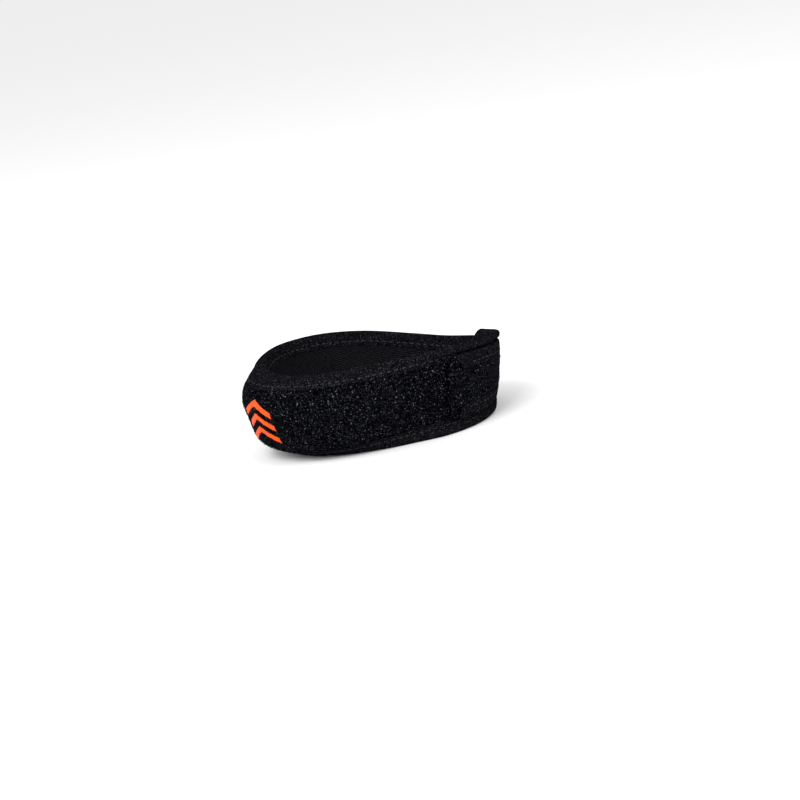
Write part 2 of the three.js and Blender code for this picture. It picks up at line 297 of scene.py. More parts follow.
    def outer_face(self, wrap: Array, height: Array) -> Array:
        """Gives the depth of the outer face.

        Args:
            wrap: Places along the strip.
            height: Places up the strip.

        Returns:
            Inner face plus thickness plus crown and pad, which fall off to both edges as a rounded block.
        """
        low = self.low_edge(wrap)
        high = self.high_edge(wrap)
        off = np.minimum(1.0, np.abs(height - (low + high) / 2.0) / ((high - low) / 2.0))
        crown = self.face_crown * (1.0 - self.closure(wrap, height)[2])
        swell = (crown + self.pad_depth * self.pad_share(wrap)) * (1.0 - off**self.pad_squareness)
        return self.inner_face(wrap, height) + self.thickness_at(wrap, height) + swell

    def spot(self, wrap: Array, height: Array, depth: Array) -> Array:
        """Puts places of the strap in space.

        Args:
            wrap: Angle gone round the leg.
            height: Height above the lower edge.
            depth: Distance out from the skin.

        Returns:
            Points in metres: the skin's point moved out along its normal by the depth and the leg's flare.
        """
        wrap, height, depth = np.broadcast_arrays(wrap, height, depth)
        angle = np.radians(self.front - wrap)
        turn = 0.001
        tangent = self.leg_point(angle + turn) - self.leg_point(angle - turn)
        normal = np.stack([tangent[..., 1], -tangent[..., 0]], axis=-1)
        normal /= np.linalg.norm(normal, axis=-1, keepdims=True)
        out = depth + self.leg_flare * (height / self.height - 0.5)
        flat = self.leg_point(angle) + normal * out[..., None]
        placed = [flat[..., 0] + self.leg_axis_x, flat[..., 1] + self.leg_axis_y, height]
        return np.stack(placed, axis=-1) * MM

    def edge_height(self, wrap: Array, edge: Edge) -> Array:
        """Gives the height of one long edge."""
        return self.high_edge(wrap) if edge is Edge.TOP else self.low_edge(wrap)

    def tape_reach(self, wrap: Array) -> Array:
        """Gives how far in the tape reaches: less on the pad, where the slope uses up its width."""
        return self.tape_width - self.reach_lost_on_pad * self.pad_share(wrap)

    def past_tape(self, wrap: Array, height: Array) -> Array:
        """Gives the distance from the tape's rim, positive on the bare cloth.

        Args:
            wrap: Places along the strip.
            height: Places up the strip.

        Returns:
            The distance to the outline less the tape's reach there, which narrows round the corners.
        """
        end = np.minimum(wrap, self.outer_end - wrap) * self.mm_per_degree
        side = np.minimum(height - self.low_edge(wrap), self.high_edge(wrap) - height)
        r = self.end_corner
        from_end = np.maximum(r - end, 0.0)
        from_side = np.maximum(r - side, 0.0)
        far = np.hypot(from_end, from_side)
        narrow = (from_end / np.maximum(far, TINY)) ** 2
        corner = r - far - mix(self.tape_reach(wrap), self.end_reach, narrow)
        plain = np.minimum(end - self.end_reach, side - self.tape_reach(wrap))
        return np.where((end < r) & (side < r), corner, plain)

    def outer_slope(self, wrap: Array, height: Array) -> Array:
        """Gives how much longer a depth is than a thickness on the outer face.

        Args:
            wrap: Places along the strip.
            height: Places up the strip.

        Returns:
            The hypotenuse over one of the face's slope up the strap, up to the most that is used.
        """
        step = self.slope_probe
        low = self.outer_face(wrap, np.maximum(self.low_edge(wrap), height - step))
        high = self.outer_face(wrap, np.minimum(self.high_edge(wrap), height + step))
        return np.minimum(self.most_slope, np.hypot(1.0, (high - low) / (2.0 * step)))


SHAPE = StrapShape()


def grid_normals(points: Array) -> Array:
    """Gives the unit normals of a grid of points, as the cross product of its two gradients."""
    normal = np.cross(np.gradient(points, axis=0), np.gradient(points, axis=1))
    return normal / np.maximum(np.linalg.norm(normal, axis=-1, keepdims=True), TINY)


def rows_across(low: Array, high: Array, ladder: tuple[float, ...], between: int) -> Array:
    """Gives heights from one long edge to the other: set steps near both, even ones between.

    Args:
        low: Height of the lower edge, one row a cross-section.
        high: Height of the upper edge, one row a cross-section.
        ladder: Distances from either edge.
        between: Number of evenly spaced rows between the two ladders.

    Returns:
        The heights, one row a cross-section.
    """
    near = np.array(ladder)[None, :]
    even = np.linspace(0.0, 1.0, between + 2)[None, 1:-1]
    middle = mix(low + near[:, -1:], high - near[:, -1:], even)
    return np.concatenate([low + near, middle, high - near[:, ::-1]], axis=1)


def grid_faces(rows: int, columns: int) -> Array:
    """Gives the faces of a grid whose points are numbered row by row.

    Args:
        rows: Number of rows of points.
        columns: Number of points in a row.

    Returns:
        The four point numbers of each face.
    """
    index = np.arange(rows * columns).reshape(rows, columns)
    corners = [index[:-1, :-1], index[1:, :-1], index[1:, 1:], index[:-1, 1:]]
    return np.stack(corners, axis=-1).reshape(-1, 4)


def rim_faces(rows: int, columns: int) -> Array:
    """Gives the faces that join the rims of two like grids, the second numbered after the first.

    Args:
        rows: Number of rows of points of each grid.
        columns: Number of points in a row.

    Returns:
        The four point numbers of each face.
    """
    index = np.arange(rows * columns).reshape(rows, columns)
    around = np.concatenate([index[:-1, 0], index[-1, :-1], index[:0:-1, -1], index[0, :0:-1]])
    ahead = np.roll(around, -1)
    far = rows * columns
    return np.stack([around, around + far, ahead + far, ahead], axis=-1)


def tube_object(name: str, points: Array) -> bpy.types.Object:
    """Joins rings of points into closed tubes.

    The walls run from ring to ring. Each end is closed by four-cornered faces that share the ring's first
    point.

    Args:
        name: Name of the piece.
        points: Points by tube, ring and place round the ring, an even number of them.

    Returns:
        One object with all the tubes.
    """
    index = np.arange(points.size // 3).reshape(points.shape[:3])
    ahead = np.roll(index, -1, axis=2)
    walls = np.stack([index[:, :-1], index[:, 1:], ahead[:, 1:], ahead[:, :-1]], axis=-1)
    fans = [(0, k, k + 1, k + 2) for k in range(1, points.shape[2] - 2, 2)]
    near = [index[:, 0, list(fan)] for fan in fans]
    far = [index[:, -1, list(fan[::-1])] for fan in fans]
    return make_object(name, points.reshape(-1, 3), np.concatenate([walls.reshape(-1, 4), *near, *far]))


def signed_volume(points: Array, faces: Array) -> float:
    """Gives six times the volume inside four-cornered faces.

    Args:
        points: Points of the mesh, one row each.
        faces: Four point numbers a face.

    Returns:
        The sum of the box products of each face's two triangles, negative where the faces point inwards.
    """
    a, b, c, d = (points[faces[:, k]] for k in range(4))
    first = np.einsum("ij,ij->i", a, np.cross(b, c))
    return float(np.sum(first + np.einsum("ij,ij->i", a, np.cross(c, d))))


def make_object(name: str, points: Array, faces: Array, uv: Array | None = None) -> bpy.types.Object:
    """Puts points and four-cornered faces into a new smooth object at the origin.

    Args:
        name: Name of the piece.
        points: Points in metres, one row each.
        faces: Four point numbers a face.
        uv: Surface coordinates in metres, one row a point.

    Returns:
        The new object, its faces turned outwards.
    """
    if signed_volume(points, faces) < 0.0:
        faces = faces[:, ::-1]
    mesh = bpy.data.meshes.new(name)
    mesh.vertices.add(len(points))
    mesh.vertices.foreach_set("co", points.astype(np.float32).ravel())
    mesh.loops.add(faces.size)
    mesh.loops.foreach_set("vertex_index", faces.astype(np.int32).ravel())
    mesh.polygons.add(len(faces))
    mesh.polygons.foreach_set("loop_start", np.arange(0, faces.size, 4, dtype=np.int32))
    mesh.polygons.foreach_set("use_smooth", np.ones(len(faces), dtype=bool))
    if uv is not None:
        layer = mesh.uv_layers.new(name="Surface")
        layer.data.foreach_set("uv", uv[faces.ravel()].astype(np.float32).ravel())
    mesh.update(calc_edges=True)
    mesh.validate()
    made = bpy.data.objects.new(name, mesh)
    bpy.context.scene.collection.objects.link(made)
    return made


def shell_object(name: str, outside: Array, inside: Array, uv: Array) -> bpy.types.Object:
    """Makes a closed shell between two grids of points with the same rows and columns.

    Args:
        name: Name of the piece.
        outside: Grid of the visible face.
        inside: Grid of the hidden face.
        uv: Surface coordinates of the grid, in metres.

    Returns:
        The closed object.
    """
    rows, columns = outside.shape[:2]
    faces = grid_faces(rows, columns)
    hidden = faces[:, ::-1] + rows * columns
    points = np.concatenate([outside.reshape(-1, 3), inside.reshape(-1, 3)])
    both = np.concatenate([faces, hidden, rim_faces(rows, columns)])
    return make_object(name, points, both, np.concatenate([uv.reshape(-1, 2)] * 2))


def dress(piece: bpy.types.Object, finish: bpy.types.Material, slot: str, *nodes: str) -> bpy.types.Object:
    """Gives a piece its finish, logs its slot name, lets it ride on the strap's body and replace CAD nodes.

    Args:
        piece: The piece to dress.
        finish: Its material.
        slot: Name of its material slot, only written to the log.
        nodes: CAD nodes that it stands for.

    Returns:
        The same piece.
    """
    piece.data.materials.append(finish)
    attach(piece, ROOT)
    if nodes:
        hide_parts(*nodes)
    LOG.info("%s: %d faces, %s", piece.name, len(piece.data.polygons), slot)
    return piece


class NodeTree:
    """A material's node tree, with short calls to fill it."""

    def __init__(self, name: str) -> None:
        """Makes a material with one principled shader.

        Args:
            name: Name of the material.
        """
        self.material = bpy.data.materials.new(name)
        self.material.use_nodes = True
        self.tree = self.material.node_tree
        self.tree.nodes.clear()
        self.output = self.add("ShaderNodeOutputMaterial")
        self.shader = self.add("ShaderNodeBsdfPrincipled")
        self.link((self.shader, "BSDF"), self.output, "Surface")

    def add(self, kind: str, **settings: object) -> bpy.types.Node:
        """Adds a node.

        Args:
            kind: Blender's name of the node type.
            settings: Properties to set on it.

        Returns:
            The new node.
        """
        node = self.tree.nodes.new(kind)
        for key, value in settings.items():
            setattr(node, key, value)
        return node

    def link(self, source: Output, target: bpy.types.Node, into: str | int) -> None:
        """Links an output to an input."""
        self.tree.links.new(source[0].outputs[source[1]], target.inputs[into])

    def constants(self, node: bpy.types.Node, values: dict[str, object]) -> None:
        """Sets constant inputs of a node by name."""
        for key, value in values.items():
            node.inputs[key].default_value = value

    def noise(self, per_metre: float, detail: float = 2.0) -> Output:
        """Adds a noise texture on the object's own coordinates.

        Args:
            per_metre: Its scale, in features a metre.
            detail: Its detail.

        Returns:
            The noise's value.
        """
        place = self.add("ShaderNodeTexCoord")
        node = self.add("ShaderNodeTexNoise")
        self.constants(node, {"Scale": per_metre, "Detail": detail})
        self.link((place, "Object"), node, "Vector")
        return node, "Fac"

    def wave(
        self,
        direction: str,
        scale: float,
        distortion: float,
        detail: float,
        detail_scale: float,
    ) -> Output:
        """Adds bands over the piece's surface coordinates.

        Args:
            direction: The way that the bands follow one another.
            scale: Scale of the wave texture.
            distortion: How far the bands waver.
            detail: Detail of the wavering.
            detail_scale: Scale of the wavering.

        Returns:
            The bands' height.
        """
        place = self.add("ShaderNodeUVMap", uv_map="Surface")
        node = self.add("ShaderNodeTexWave", wave_type="BANDS", bands_direction=direction)
        wavering = {"Distortion": distortion, "Detail": detail, "Detail Scale": detail_scale}
        self.constants(node, {"Scale": scale, **wavering})
        self.link((place, "UV"), node, "Vector")
        return node, "Fac"

    def ramp(self, source: Output, levels: tuple[float, float]) -> Output:
        """Adds a smooth step of a value.

        Args:
            source: The value.
            levels: Where the step starts and where it ends.

        Returns:
            The eased value, from 0 to 1.
        """
        node = self.add("ShaderNodeMapRange", interpolation_type="SMOOTHSTEP")
        self.constants(node, {"From Min": levels[0], "From Max": levels[1]})
        self.link(source, node, "Value")
        return node, "Result"

    def maths(self, operation: str, *inputs: Output | float) -> Output:
        """Adds a maths node.

        Args:
            operation: Blender's name of the operation.
            inputs: Links or numbers, in order.

        Returns:
            The result.
        """
        node = self.add("ShaderNodeMath", operation=operation)
        for k, value in enumerate(inputs):
            if isinstance(value, tuple):
                self.link(value, node, k)
            else:
                node.inputs[k].default_value = value
        return node, 0

    def specks(self, source: Output, peak: float, contrast: float) -> Output:
        """Turns a noise into sparse bright specks, used as painted glints: a power of its value as a share of
        a peak.
        """
        return self.maths("POWER", self.maths("DIVIDE", source, peak), contrast)

    def bump(self, source: Output, distance: float, strength: float) -> None:
        """Adds a bump into the shader's normal.

        Args:
            source: The height that it follows, from 0 to 1.
            distance: The height's size, in metres.
            strength: The share of it that is used.
        """
        node = self.add("ShaderNodeBump")
        self.constants(node, {"Strength": strength, "Distance": distance})
        self.link(source, node, "Height")
        self.link((node, "Normal"), self.shader, "Normal")

    def finished(
        self,
        share: Output,
        colours: tuple[Colour, Colour],
        roughness: float,
        specular: float = 0.0,
    ) -> bpy.types.Material:
        """Colours the shader and sets its gloss.

        Args:
            share: How far each place is from the first colour to the second.
            colours: The two colours.
            roughness: The shader's roughness.
            specular: The shader's specular level.

        Returns:
            The finished material.
        """
        node = self.add("ShaderNodeMix", data_type="RGBA")
        self.constants(node, {"A": (*colours[0], 1.0), "B": (*colours[1], 1.0)})
        self.link(share, node, "Factor")
        self.link((node, "Result"), self.shader, "Base Color")
        self.constants(self.shader, {"Roughness": roughness, "Specular IOR Level": specular})
        return self.material


@dataclass(frozen=True)
class LoopPile:
    """Brushed loop fabric: near-black pile with sparse fine specks of painted glint, where its loops would
    catch the light.
    """

    deep: Colour = (0.0004, 0.0004, 0.0008)
    # lit: painted glint colour of the specks, the light that loops would catch, put into the base colour
    lit: Colour = (0.2, 0.21, 0.25)
    peak: float = 0.75
    contrast: float = 14.0
    loops_per_metre: float = 1150.0
    patches_per_metre: float = 150.0
    patch_levels: tuple[float, float] = (0.15, 0.6)
    relief: float = 0.0006
    relief_strength: float = 0.7
    roughness: float = 0.9

    def material(self) -> bpy.types.Material:
        """Builds the material.

        Returns:
            A pile whose painted glint specks are a power of a fine noise, thinned by a coarser one.
        """
        tree = NodeTree("loop_pile")
        loops = tree.noise(self.loops_per_metre)
        patches = tree.ramp(tree.noise(self.patches_per_metre), self.patch_levels)
        # share: where the painted glints go over the near-black ground
        share = tree.maths("MULTIPLY", tree.specks(loops, self.peak, self.contrast), patches)
        tree.bump(loops, self.relief, self.relief_strength)
        return tree.finished(share, (self.deep, self.lit), self.roughness)


@dataclass(frozen=True)
class RibbedTape:
    """Elastic edge tape: fine slanting ribs on a smooth near-black ground, with painted glints on the rib
    crests.

    A diagonal wave of scale s repeats each 2π/(10s) along the sum of its two coordinates.
    """

    deep: Colour = (0.0005, 0.0005, 0.0009)
    # crest: painted glint colour, put on the rib crests and kept out of the grooves
    crest: Colour = (0.17, 0.175, 0.205)
    peak: float = 0.75
    contrast: float = 9.0
    yarns_per_metre: float = 2300.0
    rib_pitch: float = 0.0011
    rib_levels: tuple[float, float] = (-0.1, 1.0)
    waver: float = 0.6
    waver_detail: float = 1.0
    waver_scale: float = 2.0
    relief: float = 0.00016
    relief_strength: float = 0.6
    roughness: float = 0.7

    def material(self) -> bpy.types.Material:
        """Builds the material.

        Returns:
            A tape whose painted glint specks are thinned between ribs that cross it at a slant, so they sit on
            the rib crests.
        """
        tree = NodeTree("ribbed_tape")
        scale = 2.0 * math.pi / (10.0 * self.rib_pitch)
        ribs = tree.wave("DIAGONAL", scale, self.waver, self.waver_detail, self.waver_scale)
        specks = tree.specks(tree.noise(self.yarns_per_metre), self.peak, self.contrast)
        # share: painted glints, on the rib crests only
        share = tree.maths("MULTIPLY", specks, tree.ramp(ribs, self.rib_levels))
        tree.bump(ribs, self.relief, self.relief_strength)
        return tree.finished(share, (self.deep, self.crest), self.roughness)


@dataclass(frozen=True)
class SmoothKnit:
    """The inner face's flat knit: fine rows of yarn along the strap.

    An upright wave of scale s repeats each 2π/(20s).
    """

    deep: Colour = (0.0012, 0.0012, 0.0016)
    crest: Colour = (0.016, 0.0165, 0.0195)
    row_pitch: float = 0.0009
    yarns_per_metre: float = 1500.0
    levels: tuple[float, float] = (0.15, 0.6)
    waver: float = 1.2
    waver_detail: float = 2.0
    waver_scale: float = 3.0
    relief: float = 0.0001
    relief_strength: float = 0.3
    roughness: float = 0.7

    def material(self) -> bpy.types.Material:
        """Builds the material.

        Returns:
            A knit whose rows are a wave up the strap, broken by a fine noise.
        """
        tree = NodeTree("smooth_knit")
        scale = 2.0 * math.pi / (20.0 * self.row_pitch)
        rows = tree.wave("Y", scale, self.waver, self.waver_detail, self.waver_scale)
        broken = tree.maths("MULTIPLY", rows, tree.noise(self.yarns_per_metre))
        tree.bump(rows, self.relief, self.relief_strength)
        return tree.finished(tree.ramp(broken, self.levels), (self.deep, self.crest), self.roughness)


@dataclass(frozen=True)
class YarnFinish:
    """A plain yarn or fibre, varied along its length by a fine noise."""

    name: str
    deep: Colour
    lit: Colour
    roughness: float
    strands_per_metre: float = 3200.0
    levels: tuple[float, float] = (0.35, 0.7)
    relief: float = 0.0001
    relief_strength: float = 0.5

    def material(self) -> bpy.types.Material:
        """Builds the material.

        Returns:
            A yarn whose colour and fine relief follow one noise, as twisted strands do.
        """
        tree = NodeTree(self.name)
        strands = tree.noise(self.strands_per_metre)
        tree.bump(strands, self.relief, self.relief_strength)
        return tree.finished(tree.ramp(strands, self.levels), (self.deep, self.lit), self.roughness)


FIBRE = YarnFinish("pile_fibre", (0.0004, 0.0004, 0.0008), (0.036, 0.038, 0.048), 0.8)
THREAD = YarnFinish("seam_thread", (0.008, 0.0082, 0.01), (0.055, 0.056, 0.066), 0.6)
HOOKS = YarnFinish("hook_field", (0.004, 0.004, 0.005), (0.016, 0.016, 0.018), 0.6)


@dataclass(frozen=True)
class PrintFilm:
    """The emblem's smooth film, which the loops under it lift into a fine grain."""

    full: Colour = (0.86, 0.078, 0.002)
    worn: Colour = (0.68, 0.05, 0.0015)
    grains_per_metre: float = 1300.0
    grain_detail: float = 3.0
    levels: tuple[float, float] = (0.5, 0.75)
    relief: float = 0.0002
    relief_strength: float = 0.35
    roughness: float = 0.5
    specular: float = 0.12

    def material(self) -> bpy.types.Material:
        """Builds the material.

        Returns:
            A film whose colour and grain follow one noise.
        """
        tree = NodeTree("print_film")
        grain = tree.noise(self.grains_per_metre, self.grain_detail)
        tree.bump(grain, self.relief, self.relief_strength)
        share = tree.ramp(grain, self.levels)
        return tree.finished(share, (self.full, self.worn), self.roughness, self.specular)


@dataclass(frozen=True)
class StudioFloor:
    """The plain pale floor."""

    colour: Colour = (0.9, 0.9, 0.9)
    size: float = 90.0

    def build(self) -> None:
        """Makes the floor as one level sheet."""
        mesh = bpy.data.meshes.new("studio_floor")
        half = self.size / 2.0
        square = [(-half, -half, 0.0), (half, -half, 0.0), (half, half, 0.0), (-half, half, 0.0)]
        mesh.from_pydata(square, [], [(0, 1, 2, 3)])
        floor = bpy.data.objects.new("studio_floor", mesh)
        bpy.context.scene.collection.objects.link(floor)
        tree = NodeTree("studio_paper")
        plain = {"Base Color": (*self.colour, 1.0), "Roughness": 1.0, "Specular IOR Level": 0.0}
        tree.constants(tree.shader, plain)
        mesh.materials.append(tree.material)


@dataclass(frozen=True)
class ClothRelief:
    """How the loop cloth lies on the dressed face, in millimetres.

    It is proud of the face between the tapes and sunk under them, with slow waves, puckers that die out away
    from the seams, and a fine grain.
    """

    slow: Ripples
    grain: Ripples = Ripples(0.07, 5, 24, 1.6, 3.4)
    pile_height: float = 0.3
    pile_start: float = 0.1
    pile_end: float = 1.4
    sunk: float = 0.75
    rim: float = 0.4
    pucker_height: float = 0.1
    pucker_pitch: float = 3.7
    pucker_fade: float = 2.0
    soft_end: float = 1.5

    def under_tape(self, wrap: Array, height: Array) -> Array:
        """Gives the share that a place lies under the tape, eased over its rim."""
        return 1.0 - eased(SHAPE.past_tape(wrap, height), -self.rim, self.rim)

    def softness(self, wrap: Array, height: Array) -> Array:
        """Gives the cloth's own relief.

        Args:
            wrap: Places along the strip.
            height: Places up the strip.

        Returns:
            The sum of the waves, the puckers and the grain, eased to none at the tape's rim.
        """
        along = wrap * SHAPE.mm_per_degree
        off = SHAPE.past_tape(wrap, height)
        fade = np.exp(-np.maximum(off, 0.0) / self.pucker_fade)
        pucker = self.pucker_height * np.cos(along * 2.0 * math.pi / self.pucker_pitch) * fade
        whole = self.slow.at(along, height) + pucker + self.grain.at(along, height)
        return whole * eased(off, 0.0, self.soft_end)

    def face_depth(self, wrap: Array, height: Array) -> Array:
        """Gives the depth of the loop face.

        Args:
            wrap: Places along the strip.
            height: Places up the strip.

        Returns:
            The dressed face plus the pile's height and the softness, less what it is sunk under the tape.
        """
        lift = self.pile_height * eased(SHAPE.past_tape(wrap, height), self.pile_start, self.pile_end)
        sunk = self.sunk * self.under_tape(wrap, height)
        return SHAPE.outer_face(wrap, height) + lift - sunk + self.softness(wrap, height)


@dataclass(frozen=True)
class PileFibres:
    """Short arched fibres that stand out of the loop fabric."""

    per_square_mm: float = 1.1
    length: float = 0.95
    arch: float = 0.42
    radius: float = 0.055
    rooted: float = 0.05
    least_size: float = 0.6
    most_size: float = 1.35
    most_lean: float = 0.5
    probe: float = 0.2
    sides: int = 4
    rings: int = 3

    def build(
        self,
        name: str,
        wraps: Array,
        heights: Array,
        depth_at: Callable[[Array, Array], Array],
        seed: int,
    ) -> bpy.types.Object:
        """Makes the fibres over given places.

        Each fibre is a thin tube along an arch: from one foot to the other in a straight line, lifted along
        the surface's normal by 4t(1 - t) of its height.

        Args:
            name: Name of the piece.
            wraps: Wrap of each fibre's middle.
            heights: Height of each fibre's middle.
            depth_at: Gives the fabric's depth at wraps and heights.
            seed: Seed of the random draw.

        Returns:
            One object with all the fibres.
        """
        draw = np.random.default_rng(seed)
        count = len(wraps)
        beside = wraps + self.probe / SHAPE.mm_per_degree
        above = heights + self.probe
        here = SHAPE.spot(wraps, heights, depth_at(wraps, heights))
        along = SHAPE.spot(beside, heights, depth_at(beside, heights)) - here
        up = SHAPE.spot(wraps, above, depth_at(wraps, above)) - here
        along /= np.linalg.norm(along, axis=-1, keepdims=True)
        up /= np.linalg.norm(up, axis=-1, keepdims=True)
        normal = np.cross(up, along)
        normal /= np.linalg.norm(normal, axis=-1, keepdims=True)
        turn = draw.uniform(0.0, 2.0 * math.pi, count)[:, None]
        run = along * np.cos(turn) + up * np.sin(turn)
        side = np.cross(normal, run)
        size = draw.uniform(self.least_size, self.most_size, count)[:, None, None]
        lean = draw.uniform(-self.most_lean, self.most_lean, count)[:, None, None]
        t = np.linspace(0.0, 1.0, self.rings)[None, :, None]
        arch = 4.0 * t * (1.0 - t) * self.arch * size * MM
        middle = here[:, None] + run[:, None] * (t - 0.5) * self.length * size * MM
        middle = middle + normal[:, None] * (arch - self.rooted * MM) + side[:, None] * arch * lean
        ring = (np.arange(self.sides) * 2.0 * math.pi / self.sides)[None, :, None]
        spoke = normal[:, None] * np.cos(ring) + side[:, None] * np.sin(ring)
        return tube_object(name, middle[:, :, None] + spoke[:, None] * self.radius * MM)


@dataclass(frozen=True)
class BandCloth:
    """The loop-faced band that goes once round the leg and over its own inner end."""

    relief: ClothRelief = ClothRelief(Ripples(0.16, 11, 9, 14.0, 45.0))
    inset: float = 0.9
    step_along: float = 1.1
    rows_between: int = 22
    ladder: tuple[float, ...] = (
        0.0, 0.7, 1.4, 2.1, 2.8, 3.5, 4.2, 4.9, 5.5, 6.0, 6.4, 6.7, 7.0, 7.3, 7.6, 8.0, 8.6, 9.4, 10.3,
    )
    end_zone: float = 11.0
    end_step: float = 0.45
    thin_share: float = 0.25
    pad_gap: float = 0.15
    fill: float = 0.9
    bare_width: float = 29.0
    bare_margin: float = 0.5
    end_margin: float = 0.6
    overlap_margin: float = 0.1
    pad_margin: float = 0.3
    place_seed: int = 3
    fibre_seed: int = 21

    def heights(self, wrap: Array) -> Array:
        """Gives the heights of the grid's rows at each wrap, one row of the result a wrap.

        Args:
            wrap: Wraps of the cross-sections.

        Returns:
            The rows between the two edges, drawn in at the rounded ends.
        """
        shape = SHAPE
        low = shape.low_edge(wrap)[:, None] + self.inset
        high = shape.high_edge(wrap)[:, None] - self.inset
        lines = rows_across(low, high, self.ladder, self.rows_between)
        end = np.minimum(wrap, shape.outer_end - wrap) * shape.mm_per_degree
        radius = shape.end_corner - self.inset
        off = np.maximum(0.0, shape.end_corner - end)
        drop = (radius - np.sqrt(np.maximum(0.0, radius**2 - off**2)))[:, None]
        middle = (low + high) / 2.0
        squeeze = ((high - low) / 2.0 - drop) / ((high - low) / 2.0)
        return middle + (lines - middle) * squeeze

    def thin(self, wrap: Array, height: Array) -> Array:
        """Gives how deep the inner face sinks under the tape, less where the strip is thin."""
        return np.minimum(self.relief.sunk, SHAPE.thickness_at(wrap, height) * self.thin_share)

    def pile_depth(self, wrap: Array, height: Array) -> Array:
        """Gives the depth that fibres stand on.

        Args:
            wrap: Places along the strip.
            height: Places up the strip.

        Returns:
            The loop face's depth, or the tape's where it goes round the outer end.
        """
        on_tape = SHAPE.past_tape(wrap, height) < 0.0
        tape = SHAPE.outer_face(wrap, height) + EdgeTape.proud
        return np.where(on_tape, tape, self.relief.face_depth(wrap, height))

    def build(self, pile: bpy.types.Material, knit: bpy.types.Material) -> bpy.types.Object:
        """Makes the band as one closed shell, hollowed where the pad sits.

        Args:
            pile: Finish of the outer face.
            knit: Finish of the inner face.

        Returns:
            The band.
        """
        shape = SHAPE
        degree = shape.mm_per_degree
        first = self.inset / degree
        pad_edges = [shape.front - shape.pad_reach, shape.front + shape.pad_reach]
        even = spaced(first, shape.outer_end - first, self.step_along / degree)
        nudge = self.pad_gap / degree
        extra = [edge + side * nudge for edge in pad_edges for side in (-1, 1)]
        close = np.arange(self.end_step, self.end_zone, self.end_step) / degree
        wrap = np.unique(np.concatenate([even, extra, first + close, shape.outer_end - first - close]))
        height = self.heights(wrap)
        across = np.broadcast_to(wrap[:, None], height.shape)
        behind = (across > pad_edges[0]) & (across < pad_edges[1])
        thin = self.thin(across, height)
        inner = shape.inner_face(across, height)
        face = np.maximum(self.relief.face_depth(across, height), inner + 2.0 * thin)
        face = np.where(behind, shape.pad_backing, face)
        inner = inner + self.relief.under_tape(across, height) * thin
        outside = shape.spot(across, height, face)
        inside = shape.spot(across, height, inner)
        uv = np.stack([across * degree, height], axis=-1) * MM
        band = shell_object("band_cloth", outside, inside, uv)
        dress(band, pile, "loop_fabric", "strap_band")
        band.data.materials.append(knit)
        count = (len(wrap) - 1) * (height.shape[1] - 1)
        slots = np.zeros(len(band.data.polygons), dtype=np.int32)
        slots[count : 2 * count] = 1
        band.data.polygons.foreach_set("material_index", slots)
        return band

    def fibres(self, pile: PileFibres, finish: bpy.types.Material) -> None:
        """Spreads fibres over the parts of the loop face that show.

        Args:
            pile: Sizes of the fibres.
            finish: Their material.
        """
        shape = SHAPE
        pad_side = shape.pad_reach + self.pad_margin
        runs = [
            (shape.overlap + self.overlap_margin, shape.front - pad_side),
            (shape.front + pad_side, shape.outer_end - self.end_margin / shape.mm_per_degree),
        ]
        margin = shape.tape_width + self.bare_margin
        draw = np.random.default_rng(self.place_seed)
        wraps, heights = [], []
        for low, high in runs:
            count = int((high - low) * shape.mm_per_degree * self.bare_width * pile.per_square_mm)
            wrap = draw.uniform(low, high, count)
            bottom = shape.low_edge(wrap) + margin
            top = shape.high_edge(wrap) - margin
            wraps.append(wrap)
            heights.append(mix(bottom, top, draw.uniform(0.0, 1.0, count)))
        places = np.concatenate(wraps), np.concatenate(heights)
        made = pile.build("band_pile", *places, self.pile_depth, self.fibre_seed)
        dress(made, finish, "loop_fabric")


